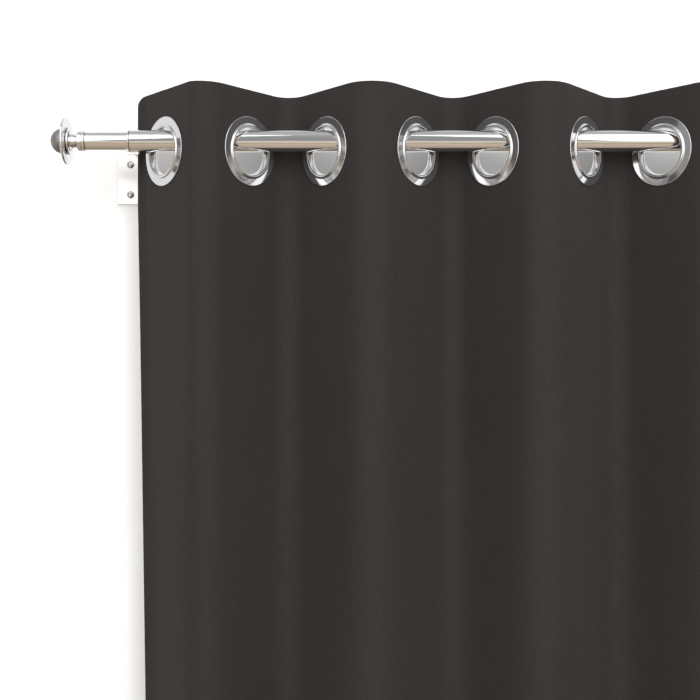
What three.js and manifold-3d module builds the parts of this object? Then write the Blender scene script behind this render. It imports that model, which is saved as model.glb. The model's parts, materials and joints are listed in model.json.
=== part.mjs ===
// An eyelet curtain panel hanging in folds on its telescopic pole, with the two wall brackets and the
// finials. Millimetres, +Z up, +X along the pole, the room at -Y and the wall at +Y. The origin is on the
// left wall plate's back face, half way up it and behind its arm. The cloth is one sheet: here it is one
// stiff solid for each fold, and the folds hinge on each other along the crests and the valleys.
import * as THREE from "three";
import { mergeVertices } from "three/addons/utils/BufferGeometryUtils.js";
import Module from "manifold-3d";

const wasm = await Module();
wasm.setup();

// Clearances
const restingGap = 0.3;
const slidingGap = 0.3;

// Cutters reach this many times through what they cut
const cutThrough = 3;

// Wall plates, one behind each end of the pole; outward is away from the curtain
const plateSpacing = 717.4;
const plateOutward = 27;
const plateInward = 2.25;
const plateHeight = 47.4;
const plateThickness = 2.5;
const screwLineOutward = 14.4;
const screwSpacingZ = 29;

// Wall screws
const wallScrewShankRadius = 2;
const wallScrewHeadRadius = 3.5;
const wallScrewHeadHeight = 2.2;
const wallScrewShoulderHeight = 1.54;
const wallScrewShoulderRadius = 2.6;
const wallScrewHoleRadius = 2.4;

// Pole
const poleToWall = 85;
const poleBelowPlateTop = 2.1;
const outerTubeRadius = 9.525;
const tubeWall = 0.8;
const tubeSlideRoom = 0.785;
const innerTubeRadius = outerTubeRadius - tubeWall - tubeSlideRoom;
const outerTubeMouthX = 0.7;
const outerTubeOverhang = 20;
const innerTubeShown = 38.3;
const innerTubeInserted = 330;
const bushLength = 14;

// Arms and cradles that carry the pole
const armWidth = 4.5;
const armHeight = 7;
const armOutward = 1;
const cradleWidth = 11;
const cradleOutward = 2.25;
const cradleThickness = 2.2;
const cradleFrontAngle = -118;
const cradleBackAngle = 32;

// Clamp screws, through the back of each cradle
const clampShankRadius = 1.5;
const clampHeadRadius = 3;
const clampHeadHeight = 2.6;

// Finials
const collarLength = 7;
const collarOverTube = 0.76;
const collarTaper = 0.4;
const grooveFromTube = 1.8;
const grooveHalfWidth = 0.4;
const grooveDepth = 0.8;
const spigotLength = 14;
const spigotChamfer = 1;
const neckLength = 6.2;
const neckRadius = 6;
const neckShoulder = 0.5;
const neckFlareLength = 1.5;
const neckFlare = 0.6;
const neckEndRadius = 9;
const smallDiscRadius = 12.5;
const smallDiscThickness = 1.8;
const smallDiscTaper = 0.6;
const largeDiscRadius = 21.4;
const largeDiscThickness = 3;
const largeDiscEdge = 0.8;
const domeRadius = 11.3;
const domeLength = 12;
const domeAngles = [0, 20, 40, 60, 75];
const finialStudRadius = 2.5;
const finialStudInCollar = 7;

// Eyelets
const eyeletCount = 8;
const firstEyeletX = 32.6;
const eyeletRadius = 20;
const eyeletLipFlare = 1.6;
const eyeletThroatFlare = 0.4;
const eyeletBarrelWall = 2.9;
const eyeletFlangeWidth = 10.7;
const eyeletFlangeSlope = 3;
const eyeletCrownWidth = 1;
const eyeletCrownHeight = 0.5;
const eyeletHalfDepth = 4.4;
const eyeletEdgeDepth = 2.9;
const eyeletSeatGap = 1.2;

// Cloth
const clothThickness = 3;
const clothDrop = 2134;
const headerAbovePole = 45.6;
const foldAngle = THREE.MathUtils.degToRad(50);
const frontSpacing = 81.8;
const backSpacing = 68.1;
const firstSpacing = 74.8;
const sideEdgeReach = 28.6;
const flatPastFlange = 1.3;
const tightestFold = THREE.MathUtils.degToRad(36);

// Facets
const tubeFacets = 32;
const discFacets = 28;
const eyeletFacets = 24;
const screwFacets = 12;
const cradleFacets = 10;
const foldArcSteps = 4;

// Places that follow from the sizes
const poleY = -poleToWall;
const poleZ = plateHeight / 2 - poleBelowPlateTop;
const outerTubeEndX = plateSpacing + outerTubeOverhang;
const innerTubeEndX = outerTubeMouthX - innerTubeShown;
const outerBoreRadius = outerTubeRadius - tubeWall;
const innerBoreRadius = innerTubeRadius - tubeWall;
const cradleInnerRadius = outerTubeRadius + restingGap;
const cradleOuterRadius = cradleInnerRadius + cradleThickness;
const eyeletZ = poleZ + outerTubeRadius + eyeletSeatGap - eyeletRadius;
const eyeletBarrelRadius = eyeletRadius + eyeletBarrelWall;
const eyeletFlangeRadius = eyeletRadius + eyeletFlangeWidth;

const finishes = {
  polishedChrome: { color: 0xcfcfd2, metalness: 1, roughness: 0.08 },
  plateChrome: { color: 0xe2e2e0, metalness: 1, roughness: 0.2 },
  whitePlastic: { color: 0xe6e4df, metalness: 0, roughness: 0.5 },
  charcoalCloth: { color: 0x3c3836, metalness: 0, roughness: 0.9 },
};

const curtain = new THREE.Group();

function addPiece(name, geometry, finish) {
  const material = new THREE.MeshStandardMaterial(finish);
  const mesh = new THREE.Mesh(geometry, material);
  mesh.name = name;
  curtain.add(mesh);
  return mesh;
}

// A closed geometry as a solid that can be cut.
function solidOf(geometry) {
  const bare = geometry.index ? geometry.toNonIndexed() : geometry.clone();
  bare.deleteAttribute("normal");
  bare.deleteAttribute("uv");
  const merged = mergeVertices(bare, 1e-4);
  const mesh = new wasm.Mesh({
    numProp: 3,
    vertProperties: merged.attributes.position.array,
    triVerts: new Uint32Array(merged.index.array),
  });
  return new wasm.Manifold(mesh);
}

function geometryOf(solid) {
  const mesh = solid.getMesh();
  const geometry = new THREE.BufferGeometry();
  geometry.setAttribute("position", new THREE.BufferAttribute(mesh.vertProperties, 3));
  geometry.setIndex(new THREE.BufferAttribute(mesh.triVerts, 1));
  const flat = geometry.toNonIndexed();
  flat.computeVertexNormals();
  return flat;
}

// A piece turned about the X axis from [distance along X, radius] pairs, in order of rising X outside.
function turned(profile, facets) {
  const points = profile.map(([along, radius]) => new THREE.Vector2(radius, along));
  return new THREE.LatheGeometry(points, facets).rotateZ(-Math.PI / 2);
}

// A washer or a tube about the X axis.
function ring(startX, endX, innerRadius, outerRadius, facets) {
  const profile = [
    [startX, innerRadius],
    [startX, outerRadius],
    [endX, outerRadius],
    [endX, innerRadius],
    [startX, innerRadius],
  ];
  return turned(profile, facets);
}

// A round bar along Y, for cutting holes.
function barAlongY(radius, length, x, y, z) {
  return new THREE.CylinderGeometry(radius, radius, length, screwFacets).translate(x, y, z);
}

// An outline drawn in Y and Z, and given a width along X.
function extrudedAlongX(shape, width) {
  const settings = { depth: width, bevelEnabled: false, curveSegments: cradleFacets };
  const geometry = new THREE.ExtrudeGeometry(shape, settings);
  const toYZ = new THREE.Matrix4().makeBasis(
    new THREE.Vector3(0, 1, 0),
    new THREE.Vector3(0, 0, 1),
    new THREE.Vector3(1, 0, 0),
  );
  return geometry.applyMatrix4(toYZ);
}

// ---- Pole ----

function addPole() {
  const outer = ring(outerTubeMouthX, outerTubeEndX, outerBoreRadius, outerTubeRadius, tubeFacets);
  addPiece("outer_tube", outer, finishes.polishedChrome).position.set(0, poleY, poleZ);

  const innerEnd = outerTubeMouthX + innerTubeInserted;
  const inner = ring(innerTubeEndX, innerEnd, innerBoreRadius, innerTubeRadius, tubeFacets);
  addPiece("inner_tube", inner, finishes.polishedChrome).position.set(0, poleY, poleZ);

  const bushStart = outerTubeMouthX + 1;
  const bushInner = innerTubeRadius + slidingGap / 2;
  const bushOuter = outerBoreRadius - slidingGap / 2;
  const bush = ring(bushStart, bushStart + bushLength, bushInner, bushOuter, tubeFacets);
  addPiece("tube_slide_bush", bush, finishes.whitePlastic).position.set(0, poleY, poleZ);
}

// ---- Brackets ----

// A bracket is drawn at X = 0 of its arm, with inward 1 or -1 along X towards the curtain.
function addWallPlate(side, placeX, inward) {
  const width = plateOutward + plateInward;
  const box = new THREE.BoxGeometry(width, plateThickness, plateHeight);
  box.translate((inward * (plateInward - plateOutward)) / 2, -plateThickness / 2, 0);
  let plate = solidOf(box);
  for (const [x, z] of screwPlaces(inward)) {
    const hole = barAlongY(wallScrewHoleRadius, plateThickness * cutThrough, x, 0, z);
    plate = plate.subtract(solidOf(hole));
  }
  addPiece(`${side}_wall_plate`, geometryOf(plate), finishes.plateChrome).position.x = placeX;
}

function screwPlaces(inward) {
  const x = -inward * screwLineOutward;
  return [
    [x, -screwSpacingZ / 2],
    [x, screwSpacingZ / 2],
  ];
}

// A dome-head screw whose axis is X and whose head is at the -X end, turned so that the head faces -Y.
function addWallScrews(side, placeX, inward) {
  const headBack = -plateThickness - restingGap;
  const profile = [
    [headBack - wallScrewHeadHeight, 0],
    [headBack - wallScrewShoulderHeight, wallScrewShoulderRadius],
    [headBack, wallScrewHeadRadius],
    [headBack, wallScrewShankRadius],
    [-restingGap, wallScrewShankRadius],
    [-restingGap, 0],
  ];
  screwPlaces(inward).forEach(([x, z], index) => {
    const screw = turned(profile, screwFacets).rotateZ(Math.PI / 2);
    const name = `${side}_wall_screw_${index + 1}`;
    addPiece(name, screw, finishes.polishedChrome).position.set(placeX + x, 0, z);
  });
}

// The arm is a flat bar behind the pole, at the top of the wall plate.
function addArm(side, placeX, inward) {
  const backY = -plateThickness - restingGap;
  const frontY = poleY + cradleOuterRadius + restingGap;
  const arm = new THREE.BoxGeometry(armWidth, backY - frontY, armHeight);
  const place = [placeX - inward * armOutward, (backY + frontY) / 2, plateHeight / 2 - armHeight / 2];
  addPiece(`${side}_arm`, arm, finishes.plateChrome).position.set(...place);
}

// The cradle is a hook that holds the tube from below and behind.
function addCradle(side, placeX, inward) {
  const front = THREE.MathUtils.degToRad(cradleFrontAngle);
  const back = THREE.MathUtils.degToRad(cradleBackAngle);
  const hook = new THREE.Shape();
  hook.absarc(0, 0, cradleOuterRadius, front, back, false);
  hook.absarc(0, 0, cradleInnerRadius, back, front, true);
  const startX = inward > 0 ? -cradleOutward : cradleOutward - cradleWidth;
  const holeY = (cradleInnerRadius + cradleOuterRadius) / 2;
  const holeLength = cradleThickness * cutThrough;
  const hole = barAlongY(clampShankRadius + slidingGap, holeLength, clampOffset(inward), holeY, 0);
  const body = solidOf(extrudedAlongX(hook, cradleWidth).translate(startX, 0, 0));
  const cradle = geometryOf(body.subtract(solidOf(hole)));
  addPiece(`${side}_cradle`, cradle, finishes.plateChrome).position.set(placeX, poleY, poleZ);
}

function clampOffset(inward) {
  return inward * (cradleWidth - cradleOutward - clampHeadRadius - slidingGap);
}

// The clamp screw presses on the back of the tube, and its head is behind the cradle.
function addClampScrew(side, placeX, inward) {
  const tip = outerTubeRadius + restingGap;
  const headFront = cradleOuterRadius + restingGap;
  const profile = [
    [tip, 0],
    [tip, clampShankRadius],
    [headFront, clampShankRadius],
    [headFront, clampHeadRadius],
    [headFront + clampHeadHeight, clampHeadRadius],
    [headFront + clampHeadHeight, 0],
  ];
  const screw = turned(profile, screwFacets).rotateZ(Math.PI / 2);
  const place = [placeX + clampOffset(inward), poleY, poleZ];
  addPiece(`${side}_clamp_screw`, screw, finishes.polishedChrome).position.set(...place);
}

function addBracket(side, placeX, inward) {
  addWallPlate(side, placeX, inward);
  addWallScrews(side, placeX, inward);
  addArm(side, placeX, inward);
  addCradle(side, placeX, inward);
  addClampScrew(side, placeX, inward);
}

// ---- Finials ----

// Each finial is drawn with its spigot at -X and its dome at +X, from the end face of its tube at X = 0.
function finialPlaces() {
  const collarEnd = restingGap + collarLength;
  const neckEnd = collarEnd + neckLength;
  const smallStart = neckEnd + restingGap;
  const smallEnd = smallStart + smallDiscThickness;
  const largeStart = smallEnd + restingGap;
  const largeEnd = largeStart + largeDiscThickness;
  const domeStart = largeEnd + restingGap;
  const studEnd = neckEnd - finialStudInCollar;
  return { collarEnd, neckEnd, smallStart, smallEnd, largeStart, largeEnd, domeStart, studEnd };
}

// The grooved collar with its spigot in the tube, its flared neck and the hole for the stud.
function collarProfile(collarRadius, spigotRadius, holeRadius, places) {
  const groove = restingGap + grooveFromTube + grooveHalfWidth;
  return [
    [-spigotLength, 0],
    [-spigotLength, spigotRadius - spigotChamfer],
    [-spigotLength + spigotChamfer, spigotRadius],
    [restingGap, spigotRadius],
    [restingGap, collarRadius],
    [groove - grooveHalfWidth, collarRadius],
    [groove, collarRadius - grooveDepth],
    [groove + grooveHalfWidth, collarRadius],
    [places.collarEnd, collarRadius - collarTaper],
    [places.collarEnd + neckShoulder, neckRadius],
    [places.neckEnd - neckFlareLength, neckRadius + neckFlare],
    [places.neckEnd, neckEndRadius],
    [places.neckEnd, holeRadius],
    [places.studEnd - restingGap, holeRadius],
    [places.studEnd - restingGap, 0],
  ];
}

function smallDiscProfile(holeRadius, places) {
  return [
    [places.smallStart, holeRadius],
    [places.smallStart, smallDiscRadius],
    [places.smallEnd, smallDiscRadius - smallDiscTaper],
    [places.smallEnd, holeRadius],
    [places.smallStart, holeRadius],
  ];
}

function largeDiscProfile(holeRadius, places) {
  return [
    [places.largeStart, holeRadius],
    [places.largeStart, largeDiscRadius - largeDiscEdge],
    [places.largeStart + largeDiscEdge, largeDiscRadius],
    [places.largeEnd - largeDiscEdge, largeDiscRadius],
    [places.largeEnd, largeDiscRadius - largeDiscEdge],
    [places.largeEnd, holeRadius],
    [places.largeStart, holeRadius],
  ];
}

// The dome is one piece with the stud that runs through both discs into the collar.
function domeProfile(places) {
  const round = domeAngles.map((degrees) => {
    const angle = THREE.MathUtils.degToRad(degrees);
    return [places.domeStart + domeLength * Math.sin(angle), domeRadius * Math.cos(angle)];
  });
  return [
    [places.studEnd, 0],
    [places.studEnd, finialStudRadius],
    [places.domeStart, finialStudRadius],
    ...round,
    [places.domeStart + domeLength, 0],
  ];
}

function addFinial(side, endX, outward, tubeRadius, boreRadius) {
  const places = finialPlaces();
  const holeRadius = finialStudRadius + slidingGap;
  const profiles = {
    collar: collarProfile(tubeRadius + collarOverTube, boreRadius - slidingGap, holeRadius, places),
    small_disc: smallDiscProfile(holeRadius, places),
    large_disc: largeDiscProfile(holeRadius, places),
    dome: domeProfile(places),
  };
  for (const [piece, profile] of Object.entries(profiles)) {
    const mesh = addPiece(`${side}_finial_${piece}`, turned(profile, discFacets), finishes.polishedChrome);
    mesh.position.set(endX, poleY, poleZ);
    mesh.rotation.z = outward > 0 ? 0 : Math.PI;
  }
}

// ---- Eyelets ----

// The places of the eyelet centres along the pole: the cloth is in front of the pole in the first gap,
// behind it in the second, and so on.
function eyeletPlaces() {
  const places = [firstEyeletX];
  for (let gap = 1; gap < eyeletCount; gap += 1) {
    const regular = gap % 2 ? frontSpacing : backSpacing;
    places.push(places[gap - 1] + (gap === 1 ? firstSpacing : regular));
  }
  return places;
}

// The front ring has the barrel that goes through the cloth; -X is the room side of the ring.
function frontRing() {
  const clothFace = clothThickness / 2 + restingGap;
  const lipRadius = eyeletRadius + eyeletLipFlare;
  const profile = [
    [-clothFace, eyeletBarrelRadius],
    [-clothFace, eyeletFlangeRadius],
    [-eyeletEdgeDepth, eyeletFlangeRadius],
    [-eyeletHalfDepth, eyeletFlangeRadius - eyeletFlangeSlope],
    [-eyeletHalfDepth - eyeletCrownHeight, eyeletBarrelRadius + eyeletCrownWidth],
    [-eyeletHalfDepth, lipRadius],
    [-eyeletHalfDepth / 2, eyeletRadius + eyeletThroatFlare],
    [0, eyeletRadius],
    [eyeletHalfDepth / 2, eyeletRadius + eyeletThroatFlare],
    [eyeletHalfDepth, lipRadius],
    [eyeletHalfDepth, eyeletBarrelRadius],
    [-clothFace, eyeletBarrelRadius],
  ];
  return turned(profile.reverse(), eyeletFacets);
}

// The back ring snaps over the barrel from the wall side.
function backRing() {
  const clothFace = clothThickness / 2 + restingGap;
  const socketRadius = eyeletBarrelRadius + slidingGap;
  return turned(
    [
      [clothFace, socketRadius],
      [clothFace, eyeletFlangeRadius],
      [eyeletEdgeDepth, eyeletFlangeRadius],
      [eyeletHalfDepth, eyeletFlangeRadius - eyeletFlangeSlope],
      [eyeletHalfDepth + eyeletCrownHeight, socketRadius + eyeletCrownWidth],
      [eyeletHalfDepth, socketRadius],
      [clothFace, socketRadius],
    ],
    eyeletFacets,
  );
}

// The fold that carries eyelet number index slants towards the room to the right, or to the left.
function slantOf(index) {
  return index % 2 ? -1 : 1;
}

// The turn about Z that lays the rings' -X side on the room side of the fold.
function ringTurn(index) {
  const towardsRoom = Math.PI / 2;
  return towardsRoom - slantOf(index) * foldAngle;
}

function addEyelets() {
  eyeletPlaces().forEach((x, index) => {
    const rings = { front: frontRing(), back: backRing() };
    for (const [half, geometry] of Object.entries(rings)) {
      const mesh = addPiece(`eyelet_${half}_${index + 1}`, geometry, finishes.polishedChrome);
      mesh.position.set(x, poleY, eyeletZ);
      mesh.rotation.z = ringTurn(index);
    }
  });
}

// ---- Cloth ----

// The round bend between the flat at an eyelet and the crest or valley that is reach away along the pole
// and depth away across it. Without a depth, the flat is as long as the flange needs.
function bendFor(reach, depth) {
  const flat = eyeletFlangeRadius + flatPastFlange;
  if (depth === undefined) {
    const radius = (reach - flat * Math.cos(foldAngle)) / Math.sin(foldAngle);
    return { radius, depth: flat * Math.sin(foldAngle) + radius * (1 - Math.cos(foldAngle)) };
  }
  const radius = (reach * Math.sin(foldAngle) - depth * Math.cos(foldAngle)) / (1 - Math.cos(foldAngle));
  return { radius, depth };
}

// Points of one bend from its end next to the crest or valley to the flat, as [x, y, slope] for a bend
// that lies at +X and -Y of the eyelet. Its end is where the cloth is cut, "left" short of the crest.
function bendPoints(reach, bend, left) {
  const first = Math.asin(left / bend.radius);
  const points = [];
  for (let step = 0; step <= foldArcSteps; step += 1) {
    const slope = first + ((foldAngle - first) * step) / foldArcSteps;
    const x = reach - bend.radius * Math.sin(slope);
    const y = -bend.depth + bend.radius * (1 - Math.cos(slope));
    points.push([x, y, slope]);
  }
  return points;
}

// One fold's plan, drawn for a fold that slants towards the room at +X.
function foldShape(frontReach, frontLeft, backLeft, slant) {
  const crest = bendFor(frontSpacing / 2);
  const frontBend = frontReach === frontSpacing / 2 ? crest : bendFor(frontReach, crest.depth);
  const backReach = backSpacing / 2;
  const front = bendPoints(frontReach, frontBend, frontLeft);
  const back = bendPoints(backReach, bendFor(backReach), backLeft).map(([x, y, slope]) => [-x, -y, slope]);
  const middle = [...back, ...front.reverse()];
  const side = (sign) =>
    middle.map(([x, y, slope]) => {
      const away = (sign * clothThickness) / 2;
      return new THREE.Vector2(slant * (x - away * Math.sin(slope)), y - away * Math.cos(slope));
    });
  return new THREE.Shape([...side(1), ...side(-1).reverse()]);
}

// The cloth stops short of each hinge line, so that two folds can close to their tightest.
function hingeGap() {
  return clothThickness * Math.tan(tightestFold) + slidingGap * 2;
}

function addCloth() {
  const topZ = poleZ + headerAbovePole;
  const holeRadius = eyeletBarrelRadius + restingGap * 2;
  eyeletPlaces().forEach((x, index) => {
    const isEnd = index === 0 || index === eyeletCount - 1;
    const frontReach = index === 0 ? firstSpacing - frontSpacing / 2 : frontSpacing / 2;
    const backLeft = isEnd ? backSpacing / 2 - sideEdgeReach : hingeGap();
    const shape = foldShape(frontReach, hingeGap(), backLeft, slantOf(index));
    const strip = new THREE.ExtrudeGeometry(shape, { depth: clothDrop, bevelEnabled: false });
    strip.translate(0, 0, topZ - clothDrop);
    const holeLength = clothThickness * cutThrough;
    const hole = new THREE.CylinderGeometry(holeRadius, holeRadius, holeLength, eyeletFacets);
    hole.rotateZ(-Math.PI / 2).rotateZ(ringTurn(index)).translate(0, 0, eyeletZ);
    const fold = geometryOf(solidOf(strip).subtract(solidOf(hole)));
    addPiece(`fabric_fold_${index + 1}`, fold, finishes.charcoalCloth).position.set(x, poleY, 0);
  });
}

addPole();
addBracket("left", 0, 1);
addBracket("right", plateSpacing, -1);
addFinial("left", innerTubeEndX, -1, innerTubeRadius, innerBoreRadius);
addFinial("right", outerTubeEndX, 1, outerTubeRadius, outerBoreRadius);
addEyelets();
addCloth();

export default curtain;
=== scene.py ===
# %% [markdown]
# # An eyelet curtain panel on its pole
#
# The panel is one length of charcoal blackout cloth. Eight chrome eyelets are pressed through its stiff
# header, and a telescopic pole runs through them, so the cloth stands in even folds: it lies in front of
# the pole between the first two eyelets, behind it between the next two, and so on. Two pressed brackets
# hold the pole off the wall, and each end of the pole has a stepped finial.
#
# This lesson builds the looks around a frame that is already made. The frame holds every part's place and
# every hinge, so all positions below are asked from it, in metres, with +Z up and the room at -Y.

# %% Load the frame
import json
import math

import bmesh
import bpy
import numpy as np
from mathutils import Matrix, Vector


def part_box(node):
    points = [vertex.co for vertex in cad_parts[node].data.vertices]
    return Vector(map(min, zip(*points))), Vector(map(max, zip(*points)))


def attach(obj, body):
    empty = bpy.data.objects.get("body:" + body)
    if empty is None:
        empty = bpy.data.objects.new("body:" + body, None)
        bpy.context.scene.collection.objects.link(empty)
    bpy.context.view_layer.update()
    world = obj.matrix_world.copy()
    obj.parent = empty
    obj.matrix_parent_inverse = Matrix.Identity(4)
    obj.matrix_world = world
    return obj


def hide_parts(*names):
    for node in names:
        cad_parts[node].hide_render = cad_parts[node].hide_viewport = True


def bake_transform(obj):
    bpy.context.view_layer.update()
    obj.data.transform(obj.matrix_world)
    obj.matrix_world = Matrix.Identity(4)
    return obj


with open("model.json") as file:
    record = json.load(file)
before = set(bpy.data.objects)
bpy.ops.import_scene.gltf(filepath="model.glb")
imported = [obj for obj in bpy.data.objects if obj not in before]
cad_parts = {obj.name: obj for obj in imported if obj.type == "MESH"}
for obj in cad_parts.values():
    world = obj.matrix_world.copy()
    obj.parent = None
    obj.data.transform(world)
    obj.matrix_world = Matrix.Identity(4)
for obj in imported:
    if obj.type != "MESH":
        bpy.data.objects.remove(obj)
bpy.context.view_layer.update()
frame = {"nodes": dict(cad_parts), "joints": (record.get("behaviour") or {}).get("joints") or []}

scene = bpy.context.scene
joints = {joint["name"]: joint for joint in frame["joints"]}

# %% [markdown]
# ## The camera
#
# A product picture of a curtain is taken straight on with a normal lens, so that the hem and the pole stay
# level. The camera stands about a metre from the pole, a little lower than it, and shows only the top left
# corner of the panel, where the eyelets, the finial and the bracket are.

# %% Camera
def box_of(*names):
    """The lowest and the highest corner of several frame nodes together."""
    boxes = [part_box(name) for name in names]
    low = Vector([min(box[0][axis] for box in boxes) for axis in range(3)])
    high = Vector([max(box[1][axis] for box in boxes) for axis in range(3)])
    return low, high


tube_low, tube_high = box_of("outer_tube")
pole_line = (tube_low + tube_high) / 2
pole_y = pole_line.y
pole_z = pole_line.z

CAMERA_DISTANCE = 0.980
CAMERA_BELOW_POLE = 0.186
CAMERA_RIGHT_OF_MOUTH = 0.1967
FOCAL_LENGTH_MM = 56.6

camera_data = bpy.data.cameras.new("camera")
camera_data.lens = FOCAL_LENGTH_MM
camera_data.sensor_width = 36
camera_data.clip_end = 50
camera = bpy.data.objects.new("camera", camera_data)
camera.location = (
    tube_low.x + CAMERA_RIGHT_OF_MOUTH, pole_y - CAMERA_DISTANCE, pole_z - CAMERA_BELOW_POLE
)
camera.rotation_euler = (math.radians(90), 0, 0)
scene.collection.objects.link(camera)
scene.camera = camera
scene.view_settings.view_transform = "Standard"
print("camera at", [round(value, 3) for value in camera.location])

# %% [markdown]
# ## Small helpers for materials
#
# Every finish below is a Principled shader with a few texture nodes in front of it. The nodes read Object
# coordinates, in metres, or the cloth's own UV map, which is laid out in metres too, so a pattern's scale
# can be given as its real size. A value that is the same everywhere is set on the shader's own socket.

# %% Material helpers
def new_material(name, **sockets):
    """A material with a Principled shader whose plain sockets are set from the keyword values."""
    material = bpy.data.materials.new(name)
    material.use_nodes = True
    shader = material.node_tree.nodes["Principled BSDF"]
    for socket, value in sockets.items():
        shader.inputs[socket.replace("_", " ")].default_value = value
    return material, shader


def add_node(material, kind, inputs=None, **settings):
    """A node of one kind, with its settings, and with its inputs set or linked."""
    node = material.node_tree.nodes.new(kind)
    for name, value in settings.items():
        setattr(node, name, value)
    for name, value in (inputs or {}).items():
        if isinstance(value, bpy.types.NodeSocket):
            material.node_tree.links.new(value, node.inputs[name])
        else:
            node.inputs[name].default_value = value
    return node


def link(material, output, target):
    material.node_tree.links.new(output, target)


def object_coordinates(material):
    return add_node(material, "ShaderNodeTexCoord").outputs["Object"]


def ramp(material, factor, stops):
    """A colour ramp from [position, colour] stops, where a colour may be a plain grey level."""
    node = add_node(material, "ShaderNodeValToRGB", {"Fac": factor})
    elements = node.color_ramp.elements
    while len(elements) < len(stops):
        elements.new(0.5)
    for element, (position, colour) in zip(elements, stops):
        element.position = position
        element.color = (*colour, 1) if hasattr(colour, "__len__") else (colour, colour, colour, 1)
    return node.outputs["Color"]


def bump(material, height, strength, distance, normal=None):
    inputs = {"Height": height, "Strength": strength, "Distance": distance}
    if normal is not None:
        inputs["Normal"] = normal
    return add_node(material, "ShaderNodeBump", inputs).outputs["Normal"]


# %% [markdown]
# ## The metal finishes
#
# Curtain hardware is thin steel or moulded plastic with a bright plate on it. Polished plate is a mirror
# with very fine hairlines from the polishing mop and a faint uneven haze from hands, so the roughness is
# small and varies a little. The pressed bracket has the same plate on rolled strip, which is less flat, so
# its reflections are softer and wavy, and a little white is mixed in for its milky coat. The eyelets' plate
# is duller than the pole's. The finial's dome is satin: the same metal, brushed before plating.

# %% Metal finishes
HAIRLINE_STRETCH = 0.04     # along X a hairline's scale is this share of its scale across


def metal(name, colour, roughest, finest, hairline_scale, waviness):
    """A plated metal: haze in its roughness, hairlines along X, and a slow wave in its surface."""
    material, shader = new_material(name, Metallic=1.0, Base_Color=(*colour, 1))
    place = object_coordinates(material)
    haze = add_node(material, "ShaderNodeTexNoise", {"Vector": place, "Scale": 55.0, "Detail": 4.0})
    roughness = ramp(material, haze.outputs["Fac"], [(0.3, finest), (0.75, roughest)])
    link(material, roughness, shader.inputs["Roughness"])
    stretch = (hairline_scale * HAIRLINE_STRETCH, hairline_scale, hairline_scale)
    stretched = add_node(material, "ShaderNodeMapping", {"Vector": place, "Scale": stretch})
    hairlines = add_node(
        material, "ShaderNodeTexNoise", {"Vector": stretched.outputs["Vector"], "Scale": 1.0, "Detail": 3.0}
    )
    wave = add_node(material, "ShaderNodeTexNoise", {"Vector": place, "Scale": 28.0, "Detail": 1.0})
    waved = bump(material, wave.outputs["Fac"], waviness, 0.001)
    fine = bump(material, hairlines.outputs["Fac"], 0.04, 0.0002, waved)
    link(material, fine, shader.inputs["Normal"])
    return material


chrome = metal("polished chrome", (0.86, 0.86, 0.87), 0.08, 0.035, 2500, 0.006)
bracket_plate = metal("bright pressed plate", (0.90, 0.893, 0.885), 0.26, 0.14, 1500, 0.15)
bracket_plate.node_tree.nodes["Principled BSDF"].inputs["Metallic"].default_value = 0.55
eyelet_chrome = metal("plated eyelet", (0.67, 0.67, 0.68), 0.10, 0.055, 2500, 0.012)
eyelet_chrome.node_tree.nodes["Principled BSDF"].inputs["Metallic"].default_value = 0.94
satin_steel = metal("satin steel", (0.33, 0.33, 0.335), 0.55, 0.45, 3000, 0.03)
screw_steel = metal("plated screw steel", (0.72, 0.72, 0.73), 0.14, 0.07, 2500, 0.04)
metals = (chrome, bracket_plate, eyelet_chrome, satin_steel, screw_steel)
print("metals:", *[finish.name for finish in metals])

# %% [markdown]
# ## The cloth finish
#
# Blackout curtain cloth is a close plain weave of fine polyester. From a metre away it reads as one matt
# colour with a slight sheen where the threads turn edge-on, and only close up does the weave show. The
# pattern follows the cloth's UV map: U runs across the panel and V runs down it, in metres. Two waves at
# right angles make the threads, the larger of the two at each point shapes the weave, and a stretched noise
# makes some threads a little thicker and lighter than others, which is what keeps cloth from looking like
# plastic.

# %% Cloth finish
THREAD_PITCH = 0.00052
SLUB_ACROSS = 1400          # thicker threads: pattern scale across a thread
SLUB_ALONG = 45             # and along it
SLUB_SHARE = 0.42           # how much the threads and the larger patches count in the colour
PATCH_SHARE = 0.16


def thread_wave(material, coordinate, pitch):
    """A rounded ridge for each thread: the absolute sine of the coordinate over the pitch."""
    turns = add_node(material, "ShaderNodeMath", {0: coordinate, 1: math.pi / pitch}, operation="MULTIPLY")
    sine = add_node(material, "ShaderNodeMath", {0: turns.outputs[0]}, operation="SINE")
    return add_node(material, "ShaderNodeMath", {0: sine.outputs[0]}, operation="ABSOLUTE").outputs[0]


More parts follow.
